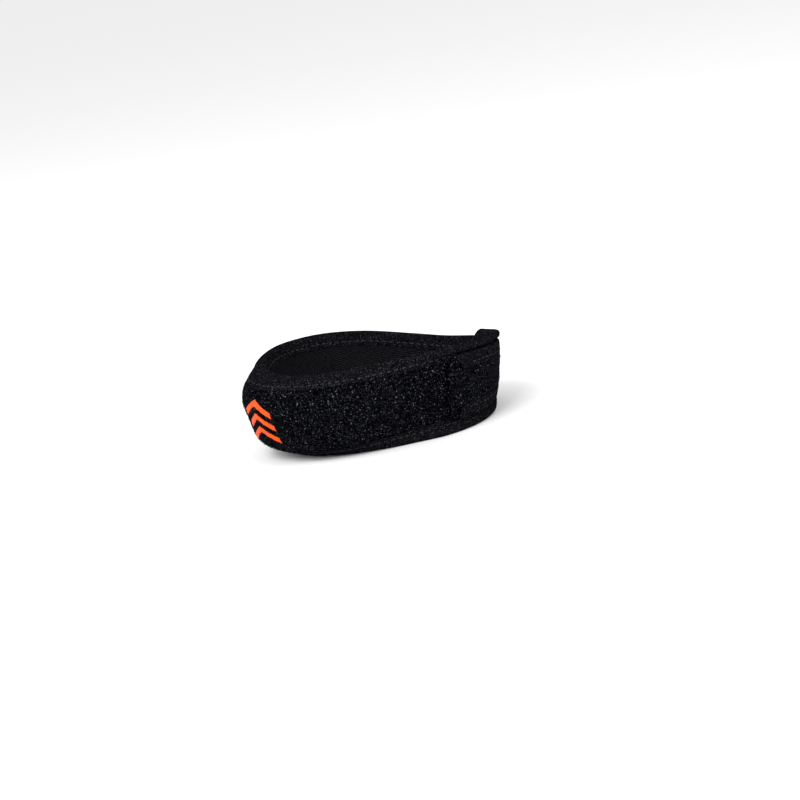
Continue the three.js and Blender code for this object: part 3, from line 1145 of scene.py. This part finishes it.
@dataclass(frozen=True)
class PadCushion:
    """The thick pad at the front: a firm cushion drawn tight by the tapes along its two edges."""

    relief: ClothRelief = ClothRelief(Ripples(0.22, 17, 9, 16.0, 50.0))
    feather: float = 3.0
    feather_lap: float = 1.0
    feather_sink: float = 0.35
    feather_thickness: float = 0.6
    least_thickness: float = 0.5
    step_along: float = 1.0
    ladder: tuple[float, ...] = (0.0, 1.2, 2.4, 3.4, 4.2, 4.9, 5.5, 6.1, 6.8, 7.6, 8.5, 9.5)
    rows_between: int = 22
    inset: float = 0.9
    back_gap: float = 0.2
    fill: float = 0.9
    coarse_step: float = 4.5
    coarse_rows: int = 13
    pressure: float = 130.0
    cloth_quality: int = 6
    cloth_frames: int = 20
    most_swell: float = 0.8
    fibre_share: float = 1.25
    bare_width: float = 40.0
    bare_margin: float = 0.5
    place_seed: int = 8
    fibre_seed: int = 22

    def edges(self, wrap: Array) -> tuple[Array, Array]:
        """Gives the heights of the cover's two seams."""
        return SHAPE.low_edge(wrap) + self.inset, SHAPE.high_edge(wrap) - self.inset

    def face_depth(self, wrap: Array, height: Array) -> Array:
        """Gives the depth of the pad's loop face.

        Args:
            wrap: Places along the strip.
            height: Places up the strip.

        Returns:
            The cloth's depth, feathered out over the band at both ends.
        """
        past = np.abs(SHAPE.from_front(wrap)) - SHAPE.pad_reach
        feathered = self.feather_sink * eased(past, -self.feather_lap, self.feather)
        return self.relief.face_depth(wrap, height) - feathered

    @cache
    def swelling(self) -> tuple[Array, Array, Array]:
        """Lets the pad's cover relax as cloth under pressure, held along its seams.

        Returns:
            Wraps and height shares of a coarse grid, and how far the cover moved out there, in millimetres.
        """
        shape = SHAPE
        reach = shape.pad_reach
        wrap = spaced(shape.front - reach, shape.front + reach, self.coarse_step / shape.mm_per_degree)
        share = np.linspace(0.0, 1.0, self.coarse_rows)
        low, high = self.edges(wrap[:, None])
        height = mix(low, high, share[None, :])
        across = np.broadcast_to(wrap[:, None], height.shape)
        outside = shape.spot(across, height, shape.outer_face(across, height))
        inside = shape.spot(across, height, np.full(height.shape, shape.pad_backing))
        uv = np.stack([across, height], axis=-1) * MM
        cover = shell_object("pad_relaxing", outside, inside, uv)
        count = height.size
        held = np.ones(height.shape)
        held[1:-1, 2:-2] = 0.0
        numbers = np.concatenate([np.flatnonzero(held.ravel()), np.arange(count, 2 * count)])
        group = cover.vertex_groups.new(name="seams")
        group.add([int(n) for n in numbers], 1.0, "REPLACE")
        cloth = cover.modifiers.new("Cloth", "CLOTH")
        cloth.settings.vertex_group_mass = group.name
        cloth.settings.use_pressure = True
        cloth.settings.uniform_pressure_force = self.pressure
        cloth.settings.effector_weights.gravity = 0.0
        cloth.settings.quality = self.cloth_quality
        scene = bpy.context.scene
        for step in range(self.cloth_frames):
            scene.frame_set(step + 1)
        moved = cover.evaluated_get(bpy.context.evaluated_depsgraph_get())
        flat = np.empty(2 * count * 3)
        moved.data.vertices.foreach_get("co", flat)
        shift = flat.reshape(-1, 3)[:count].reshape(outside.shape) - outside
        normal = grid_normals(outside)
        centre = outside.reshape(-1, 3).mean(axis=0)
        outward = np.sign(np.einsum("ijk,ijk->ij", normal, outside - centre).sum())
        swell = np.einsum("ijk,ijk->ij", shift, normal) * outward / MM
        bpy.data.objects.remove(cover)
        scene.frame_set(1)
        LOG.info("pad cover relaxed by %.2f mm at most", float(np.abs(swell).max()))
        return wrap, share, np.clip(swell, -self.most_swell, self.most_swell)

    def swell_at(self, wrap: Array, height: Array) -> Array:
        """Gives the relaxed cover's swell at places of the pad.

        Args:
            wrap: Places along the strip.
            height: Places up the strip.

        Returns:
            A blend of the coarse grid's four corners round each place, eased from row to row both ways.
        """
        at, share, swell = self.swelling()
        low, high = self.edges(wrap)
        x = np.clip((wrap - at[0]) / (at[1] - at[0]), 0.0, len(at) - 1.0)
        y = np.clip((height - low) / (high - low) * (len(share) - 1), 0.0, len(share) - 1.0)
        i = np.minimum(x.astype(int), len(at) - 2)
        j = np.minimum(y.astype(int), len(share) - 2)
        s, t = eased(x - i, 0.0, 1.0), eased(y - j, 0.0, 1.0)
        lower = mix(swell[i, j], swell[i + 1, j], s)
        upper = mix(swell[i, j + 1], swell[i + 1, j + 1], s)
        return mix(lower, upper, t)

    def cover_depth(self, wrap: Array, height: Array) -> Array:
        """Gives the depth of the finished cover."""
        return self.face_depth(wrap, height) + self.swell_at(wrap, height)

    def build(self, pile: bpy.types.Material) -> bpy.types.Object:
        """Makes the pad as one closed cushion.

        Args:
            pile: Finish of the loop face.

        Returns:
            The pad.
        """
        shape = SHAPE
        reach = shape.pad_reach + self.feather / shape.mm_per_degree
        wrap = spaced(shape.front - reach, shape.front + reach, self.step_along / shape.mm_per_degree)
        low, high = self.edges(wrap[:, None])
        height = rows_across(low, high, self.ladder, self.rows_between)
        across = np.broadcast_to(wrap[:, None], height.shape)
        face = self.cover_depth(across, height)
        beyond = np.abs(shape.from_front(across)) > shape.pad_reach
        back = np.where(beyond, face - self.feather_thickness, shape.pad_backing + self.back_gap)
        outside = shape.spot(across, height, face)
        inside = shape.spot(across, height, np.minimum(back, face - self.least_thickness))
        uv = np.stack([across * shape.mm_per_degree, height], axis=-1) * MM
        pad = shell_object("pad_cushion", outside, inside, uv)
        dress(pad, pile, "loop_fabric", "front_pad")
        return pad

    def fibres(self, pile: PileFibres, finish: bpy.types.Material) -> None:
        """Spreads fibres over the pad's loop face.

        Args:
            pile: Sizes of the fibres.
            finish: Their material.
        """
        shape = SHAPE
        reach = shape.pad_reach
        area = 2.0 * reach * shape.mm_per_degree * self.bare_width
        count = int(self.fibre_share * area * pile.per_square_mm)
        draw = np.random.default_rng(self.place_seed)
        wrap = shape.front + draw.uniform(-reach, reach, count)
        margin = shape.tape_reach(wrap) + self.bare_margin
        bottom = shape.low_edge(wrap) + margin
        top = shape.high_edge(wrap) - margin
        height = mix(bottom, top, draw.uniform(0.0, 1.0, count))
        made = pile.build("pad_pile", wrap, height, self.cover_depth, self.fibre_seed)
        dress(made, finish, "loop_fabric")


@dataclass(frozen=True)
class EdgeTape:
    """An elastic tape folded over one long edge and round half of both ends."""

    edge: Edge
    thickness: float = 0.5
    proud: float = 0.4
    inner_share: float = 0.6
    fold_radius: float = 1.5
    fold_slack: float = 0.2
    step_along: float = 1.3
    leg_rows: int = 17
    fold_rows: int = 8
    corner_rows: int = 8
    side_rows: int = 4
    end_turn: float = 0.35
    seam_inset: float = 5.2
    seam_pitch: float = 3.7
    seam_margin: float = 1.0
    seam_step: float = 0.25
    stitch_stray: float = 0.3
    least_stitch: float = 0.24
    most_stitch: float = 0.36
    stitch_rings: int = 7
    stitch_sides: int = 6
    blunt_end: float = 0.98
    thread_width: float = 0.3
    thread_height: float = 0.22
    stitch_seed: int = 31

    def outer_depth(self, wrap: Array, height: Array) -> Array:
        """Gives the depth of the tape's outside on the outer face."""
        return SHAPE.outer_face(wrap, height) + self.proud

    def inner_depth(self, wrap: Array, height: Array) -> Array:
        """Gives the depth of the tape's outside on the inner face."""
        return SHAPE.inner_face(wrap, height) - self.proud * self.inner_share

    def route(self) -> tuple[Array, Array, Array, Array]:
        """Gives the tape's path: half the inner end, its corner, the long edge, and the same at the far end.

        Returns:
            The wrap and height of each station and the way into the strip there, along and up.
        """
        shape = SHAPE
        way = float(self.edge.value)
        r = shape.end_corner
        turn = np.linspace(0.0, math.pi / 2.0, self.corner_rows + 1)
        run = r / shape.mm_per_degree
        count = self.side_rows
        halves = []
        for at, ahead in ((0.0, 1.0), (shape.outer_end, -1.0)):
            side_wrap = np.full(count, at)
            middle = (shape.low_edge(side_wrap) + shape.high_edge(side_wrap)) / 2.0
            corner = shape.edge_height(side_wrap, self.edge) - way * r
            side_height = mix(middle, corner, np.arange(count) / count)
            wrap = at + ahead * run * (1.0 - np.cos(turn))
            height = shape.edge_height(wrap, self.edge) - way * r * (1.0 - np.sin(turn))
            halves.append(
                (
                    np.concatenate([side_wrap, wrap]),
                    np.concatenate([side_height, height]),
                    np.concatenate([np.full(count, ahead), ahead * np.cos(turn)]),
                    np.concatenate([np.zeros(count), -way * np.sin(turn)]),
                )
            )
        step = self.step_along / shape.mm_per_degree
        straight = spaced(run, shape.outer_end - run, step)[1:-1]
        level = np.zeros(len(straight))
        edge = (straight, shape.edge_height(straight, self.edge), level, level - way)
        joined = [np.concatenate([a, b, c[::-1]]) for a, b, c in zip(halves[0], edge, halves[1])]
        return joined[0], joined[1], joined[2], joined[3]

    def section(self) -> tuple[Array, Array]:
        """Gives the folded cross-section.

        Returns:
            The distance in from the edge as a share, from 0 at the fold to 1 at the tape's two rims, and the
            side: 1 on the outer face, -1 on the inner face, and the cosine of a half turn over the fold.
        """
        leg = np.linspace(1.0, 0.0, self.leg_rows + 1)
        fold = np.linspace(0.0, math.pi, self.fold_rows + 1)[1:-1]
        inset = np.concatenate([leg, -np.sin(fold), leg[::-1]])
        side = np.concatenate([np.ones(len(leg)), np.cos(fold), -np.ones(len(leg))])
        return inset, side

    def surface(self, sunk: float) -> tuple[Array, Array]:
        """Gives the tape's surface as a grid along its route and round its fold.

        Args:
            sunk: How far the surface lies under the tape's outside, in millimetres.

        Returns:
            Points in metres and their surface coordinates.
        """
        shape = SHAPE
        wrap0, height0, in_along, in_up = (part[:, None] for part in self.route())
        share, side = (part[None, :] for part in self.section())
        reach = mix(shape.tape_reach(wrap0), shape.end_reach, in_along**2)
        radius = np.minimum(self.fold_radius, shape.thickness_at(wrap0, height0) / 2.0 + self.fold_slack)
        leg = radius + (reach - radius) * np.maximum(share, 0.0)
        inset = np.where(share < 0.0, radius * (1.0 + share), leg) + sunk * (np.abs(side) < 1.0) * -share
        wrap = wrap0 + inset * in_along / shape.mm_per_degree
        height = height0 + inset * in_up
        outer = self.outer_depth(wrap, height) - sunk * shape.outer_slope(wrap, height)
        inner = self.inner_depth(wrap, height) + sunk
        rim = (wrap0 + radius * in_along / shape.mm_per_degree, height0 + radius * in_up)
        rim_outer = self.outer_depth(*rim) - sunk * shape.outer_slope(*rim)
        rim_inner = self.inner_depth(*rim) + sunk
        fold = mix(rim_inner, rim_outer, (side + 1.0) / 2.0)
        depth = np.where(share < 0.0, fold, np.where(side > 0.0, outer, inner))
        points = shape.spot(wrap, height, depth)
        step = np.linalg.norm(np.diff(points[:, self.leg_rows], axis=0), axis=-1)
        along = np.concatenate([[0.0], np.cumsum(step)])[:, None]
        over = np.linalg.norm(np.diff(points, axis=1), axis=-1)
        across = np.concatenate([np.zeros((len(points), 1)), np.cumsum(over, axis=1)], axis=1)
        return points, np.stack([np.broadcast_to(along, across.shape), across], axis=-1)

    def build(
        self,
        finish: bpy.types.Material,
        pile: bpy.types.Material,
        name: str,
        node: str,
    ) -> bpy.types.Object:
        """Makes the tape as a closed folded sheet, faced with pile round the strap's outer end.

        Args:
            finish: Its material along the edge.
            pile: Its material round the outer end.
            name: Name of the piece.
            node: CAD node that it replaces.

        Returns:
            The tape.
        """
        outside, uv = self.surface(0.0)
        inside, _ = self.surface(self.thickness)
        tape = dress(shell_object(name, outside, inside, uv), finish, "edge_tape", node)
        tape.data.materials.append(pile)
        ahead = self.route()[2]
        at_end = np.maximum(ahead[:-1], ahead[1:]) < -self.end_turn
        both = np.tile(np.repeat(at_end, outside.shape[1] - 1), 2)
        slots = np.zeros(len(tape.data.polygons), dtype=np.int32)
        slots[: len(both)] = both
        tape.data.polygons.foreach_set("material_index", slots)
        return tape

    def seam_line(self, face: Face, wrap: Array, further: float = 0.0) -> Array:
        """Gives points of the seam on one face.

        Args:
            face: The face that it runs on.
            wrap: Places along the strip.
            further: How much further in from the edge than the seam.

        Returns:
            Points in metres, on the tape's surface.
        """
        inset = self.seam_inset * SHAPE.tape_reach(wrap) / SHAPE.tape_width + further
        height = SHAPE.edge_height(wrap, self.edge) - self.edge.value * inset
        depth = self.outer_depth if face is Face.OUTER else self.inner_depth
        return SHAPE.spot(wrap, height, depth(wrap, height))

    def seam(self, finish: bpy.types.Material, name: str) -> bpy.types.Object:
        """Makes the seam's stitches on both faces of the tape.

        Each stitch is a flattened tube along a short chord of the seam: its radius is the square root of
        1 - s² of the thread's, where s runs from -1 at one end to 1 at the other, so both ends close.

        Args:
            finish: The thread's material.
            name: Name of the piece.

        Returns:
            One object with all the stitches.
        """
        shape = SHAPE
        margin = (shape.end_corner + self.seam_margin) / shape.mm_per_degree
        fine = np.arange(margin, shape.outer_end - margin, self.seam_step)
        s = np.sin(np.linspace(-1.0, 1.0, self.stitch_rings) * math.pi / 2.0 * self.blunt_end)
        thick = np.sqrt(1.0 - s**2)[None, :, None, None]
        ring = (np.arange(self.stitch_sides) * 2.0 * math.pi / self.stitch_sides)[None, None, :, None]
        draw = np.random.default_rng(self.stitch_seed)
        made = []
        for face in Face:
            line = self.seam_line(face, fine)
            length = np.concatenate([[0.0], np.cumsum(np.linalg.norm(np.diff(line, axis=0), axis=-1))]) / MM
            middles = np.arange(self.seam_pitch, length[-1] - self.seam_pitch, self.seam_pitch)
            middles = middles + draw.uniform(-self.stitch_stray, self.stitch_stray, len(middles))
            half = self.seam_pitch * draw.uniform(self.least_stitch, self.most_stitch, len(middles))
            a = along_line(middles - half, length, line)
            b = along_line(middles + half, length, line)
            wrap = np.interp(middles, length, fine)
            side = self.seam_line(face, wrap, self.thread_width) - self.seam_line(face, wrap)
            side /= np.linalg.norm(side, axis=-1, keepdims=True)
            run = b - a
            run /= np.linalg.norm(run, axis=-1, keepdims=True)
            normal = np.cross(side, run)
            middle = mix(a[:, None], b[:, None], (s[None, :, None] + 1.0) / 2.0)
            wide = side[:, None, None] * np.cos(ring) * self.thread_width
            tall = normal[:, None, None] * np.sin(ring) * self.thread_height
            made.append(middle[:, :, None] + (wide + tall) * thick * MM)
        return dress(tube_object(name, np.concatenate(made)), finish, "edge_tape")


@dataclass(frozen=True)
class HookPatch:
    """The hook tape between the two ends."""

    margin: float = 8.2
    step: float = 1.5
    rows: int = 14

    def build(self, finish: bpy.types.Material) -> bpy.types.Object:
        """Makes the patch as a thin plate bent round the leg, on the inner end.

        Args:
            finish: Its material.

        Returns:
            The patch.
        """
        shape = SHAPE
        off = self.margin / shape.mm_per_degree
        wrap = spaced(FULL_TURN + off, shape.outer_end - off, self.step / shape.mm_per_degree)[:, None]
        share = np.linspace(0.0, 1.0, self.rows)[None, :]
        height = mix(shape.low_edge(wrap) + self.margin, shape.high_edge(wrap) - self.margin, share)
        inner = shape.pressed_thickness + shape.clearance
        outside = shape.spot(wrap, height, inner + shape.hook_thickness)
        inside = shape.spot(wrap, height, inner)
        uv = np.stack([np.broadcast_to(wrap, height.shape) * shape.mm_per_degree, height], axis=-1) * MM
        return dress(shell_object("hook_tape", outside, inside, uv), finish, "hook_tape", "hook_patch")


@dataclass(frozen=True)
class ChevronEmblem:
    """Three plain chevrons printed one above the other on the pad, a little to the side of its middle."""

    count: int = 3
    width: float = 24.0
    rise: float = 6.0
    stroke: float = 3.2
    pitch: float = 6.8
    middle: float = 23.0
    turn: float = 5.0
    apex_round: float = 0.02
    film: float = 0.28
    rim_steepness: float = 12.0
    rim_least: float = 0.04
    sunk: float = 0.5
    columns: int = 61
    rows: int = 9

    def build(self, pad: PadCushion, finish: bpy.types.Material) -> None:
        """Makes each chevron as a thin film on the pad's cover.

        Each is a strip whose height above its middle is its rise times one half less the share off the
        middle. The film thins to its rims by the square root of the distance from them.

        Args:
            pad: The cushion that carries them.
            finish: The print's material.
        """
        shape = SHAPE
        centre = shape.front + self.turn
        face = shape.outer_face(np.array(centre), np.array(self.middle))
        ends = shape.spot(np.array([centre - 0.5, centre + 0.5]), np.array(self.middle), face)
        one_degree = float(np.linalg.norm(ends[1] - ends[0])) / MM
        a = np.linspace(0.0, 1.0, self.columns)[:, None]
        b = np.linspace(-0.5, 0.5, self.rows)[None, :]
        wrap = np.broadcast_to(centre - (a - 0.5) * self.width / one_degree, (self.columns, self.rows))
        bend = np.sqrt((2.0 * a - 1.0) ** 2 + self.apex_round**2)
        from_rim = np.minimum(np.minimum(a, 1.0 - a) * self.width / self.stroke, 0.5 - np.abs(b))
        rim = np.minimum(1.0, self.rim_steepness * from_rim)
        film = self.film * np.sqrt(np.maximum(rim, self.rim_least))
        for k in range(self.count):
            base = self.middle + (k - (self.count - 1) / 2.0) * self.pitch
            height = base + self.rise * (0.5 - bend) + self.stroke * b
            cover = pad.cover_depth(wrap, height)
            slope = shape.outer_slope(wrap, height)
            outside = shape.spot(wrap, height, cover + film * slope)
            inside = shape.spot(wrap, height, cover - self.sunk * slope)
            uv = np.stack([wrap * one_degree, height], axis=-1) * MM
            made = shell_object(f"emblem_print_{k + 1}", outside, inside, uv)
            dress(made, finish, "orange_print", f"emblem_chevron_{k + 1}")


@dataclass(frozen=True)
class Softbox:
    """A square area light: its place and side in metres and its power in watts."""

    name: str
    place: tuple[float, float, float]
    side: float
    power: float

    def build(self, target: Vector) -> None:
        """Makes the light.

        Args:
            target: The point in metres that it faces.
        """
        light = bpy.data.lights.new(self.name, "AREA")
        light.size = self.side
        light.energy = self.power
        lamp = bpy.data.objects.new(self.name, light)
        lamp.location = self.place
        lamp.rotation_euler = (target - lamp.location).to_track_quat("-Z", "Y").to_euler()
        bpy.context.scene.collection.objects.link(lamp)


@dataclass(frozen=True)
class Studio:
    """Camera and lights: the photograph's viewing angle, on a plain pale floor."""

    azimuth: float = 49.57
    elevation: float = 11.96
    roll: float = 9.95
    distance: float = 1.2
    pixels_per_mm: float = 1.952
    image: float = 800.0
    aim_x: float = 389.0
    aim_y: float = 385.0
    aim_height: float = 20.0
    sensor: float = 36.0
    nearest: float = 0.01
    furthest: float = 50.0
    surround: float = 0.95
    softboxes: tuple[Softbox, ...] = (
        Softbox("key_light", (0.55, -1.35, 1.3), 1.0, 26.0),
        Softbox("side_light", (1.6, 0.3, 0.8), 0.8, 10.0),
        Softbox("left_light", (-1.2, -1.2, 0.7), 0.8, 8.0),
    )

    def camera(self) -> None:
        """Makes the camera.

        It looks at the leg's axis from the azimuth and elevation, is turned about its own axis by the roll,
        and is shifted so that the axis's point falls on its pixel.
        """
        a, e, r = (math.radians(x) for x in (self.azimuth, self.elevation, self.roll))
        back = Vector((math.sin(a) * math.cos(e), -math.cos(a) * math.cos(e), math.sin(e)))
        right = Vector((math.cos(a), math.sin(a), 0.0))
        up = back.cross(right)
        across = right * math.cos(r) - up * math.sin(r)
        upright = right * math.sin(r) + up * math.cos(r)
        aim = Vector((SHAPE.leg_axis_x, SHAPE.leg_axis_y, self.aim_height)) * MM
        lens = bpy.data.cameras.new("camera")
        lens.sensor_width = self.sensor
        lens.lens = self.sensor * self.pixels_per_mm * self.distance / MM / self.image
        lens.shift_x = (self.image / 2.0 - self.aim_x) / self.image
        lens.shift_y = (self.aim_y - self.image / 2.0) / self.image
        lens.clip_start = self.nearest
        lens.clip_end = self.furthest
        camera = bpy.data.objects.new("camera", lens)
        turn = Matrix((across, upright, back)).transposed().to_4x4()
        camera.matrix_world = Matrix.Translation(aim + back * self.distance) @ turn
        bpy.context.scene.collection.objects.link(camera)
        bpy.context.scene.camera = camera

    def light(self) -> None:
        """Makes a bright even surround, a wide key light in front and above, and two weaker ones."""
        world = bpy.data.worlds.new("studio")
        world.use_nodes = True
        ground = world.node_tree.nodes["Background"]
        ground.inputs["Color"].default_value = (1.0, 1.0, 1.0, 1.0)
        ground.inputs["Strength"].default_value = self.surround
        bpy.context.scene.world = world
        bpy.context.scene.view_settings.view_transform = "Standard"
        for softbox in self.softboxes:
            softbox.build(Vector((0.0, 0.0, self.aim_height)) * MM)


def corners(box: tuple[Vector, Vector]) -> list[list[float]]:
    """Gives a box's two corners as plain lists of numbers."""
    return [[float(x) for x in corner] for corner in box]


def main() -> None:
    """Builds the strap's pieces in order, with the camera first."""
    logging.basicConfig(level=logging.INFO, format="%(name)s: %(message)s")
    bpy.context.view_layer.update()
    studio = Studio()
    studio.camera()
    studio.light()
    StudioFloor().build()

    pile = LoopPile().material()
    tape = RibbedTape().material()
    knit = SmoothKnit().material()
    fibre = FIBRE.material()
    thread = THREAD.material()
    hooks = HOOKS.material()

    band = BandCloth()
    band.build(pile, knit)
    pad = PadCushion()
    pad.build(pile)
    band.fibres(PileFibres(), fibre)
    pad.fibres(PileFibres(), fibre)
    for edge, word in ((Edge.TOP, "top"), (Edge.BOTTOM, "bottom")):
        folded = EdgeTape(edge)
        folded.build(tape, pile, f"{word}_tape", f"{word}_binding")
        folded.seam(thread, f"{word}_seam")
    HookPatch().build(hooks)
    ChevronEmblem().build(pad, PrintFilm().material())


if __name__ == "__main__":
    main()
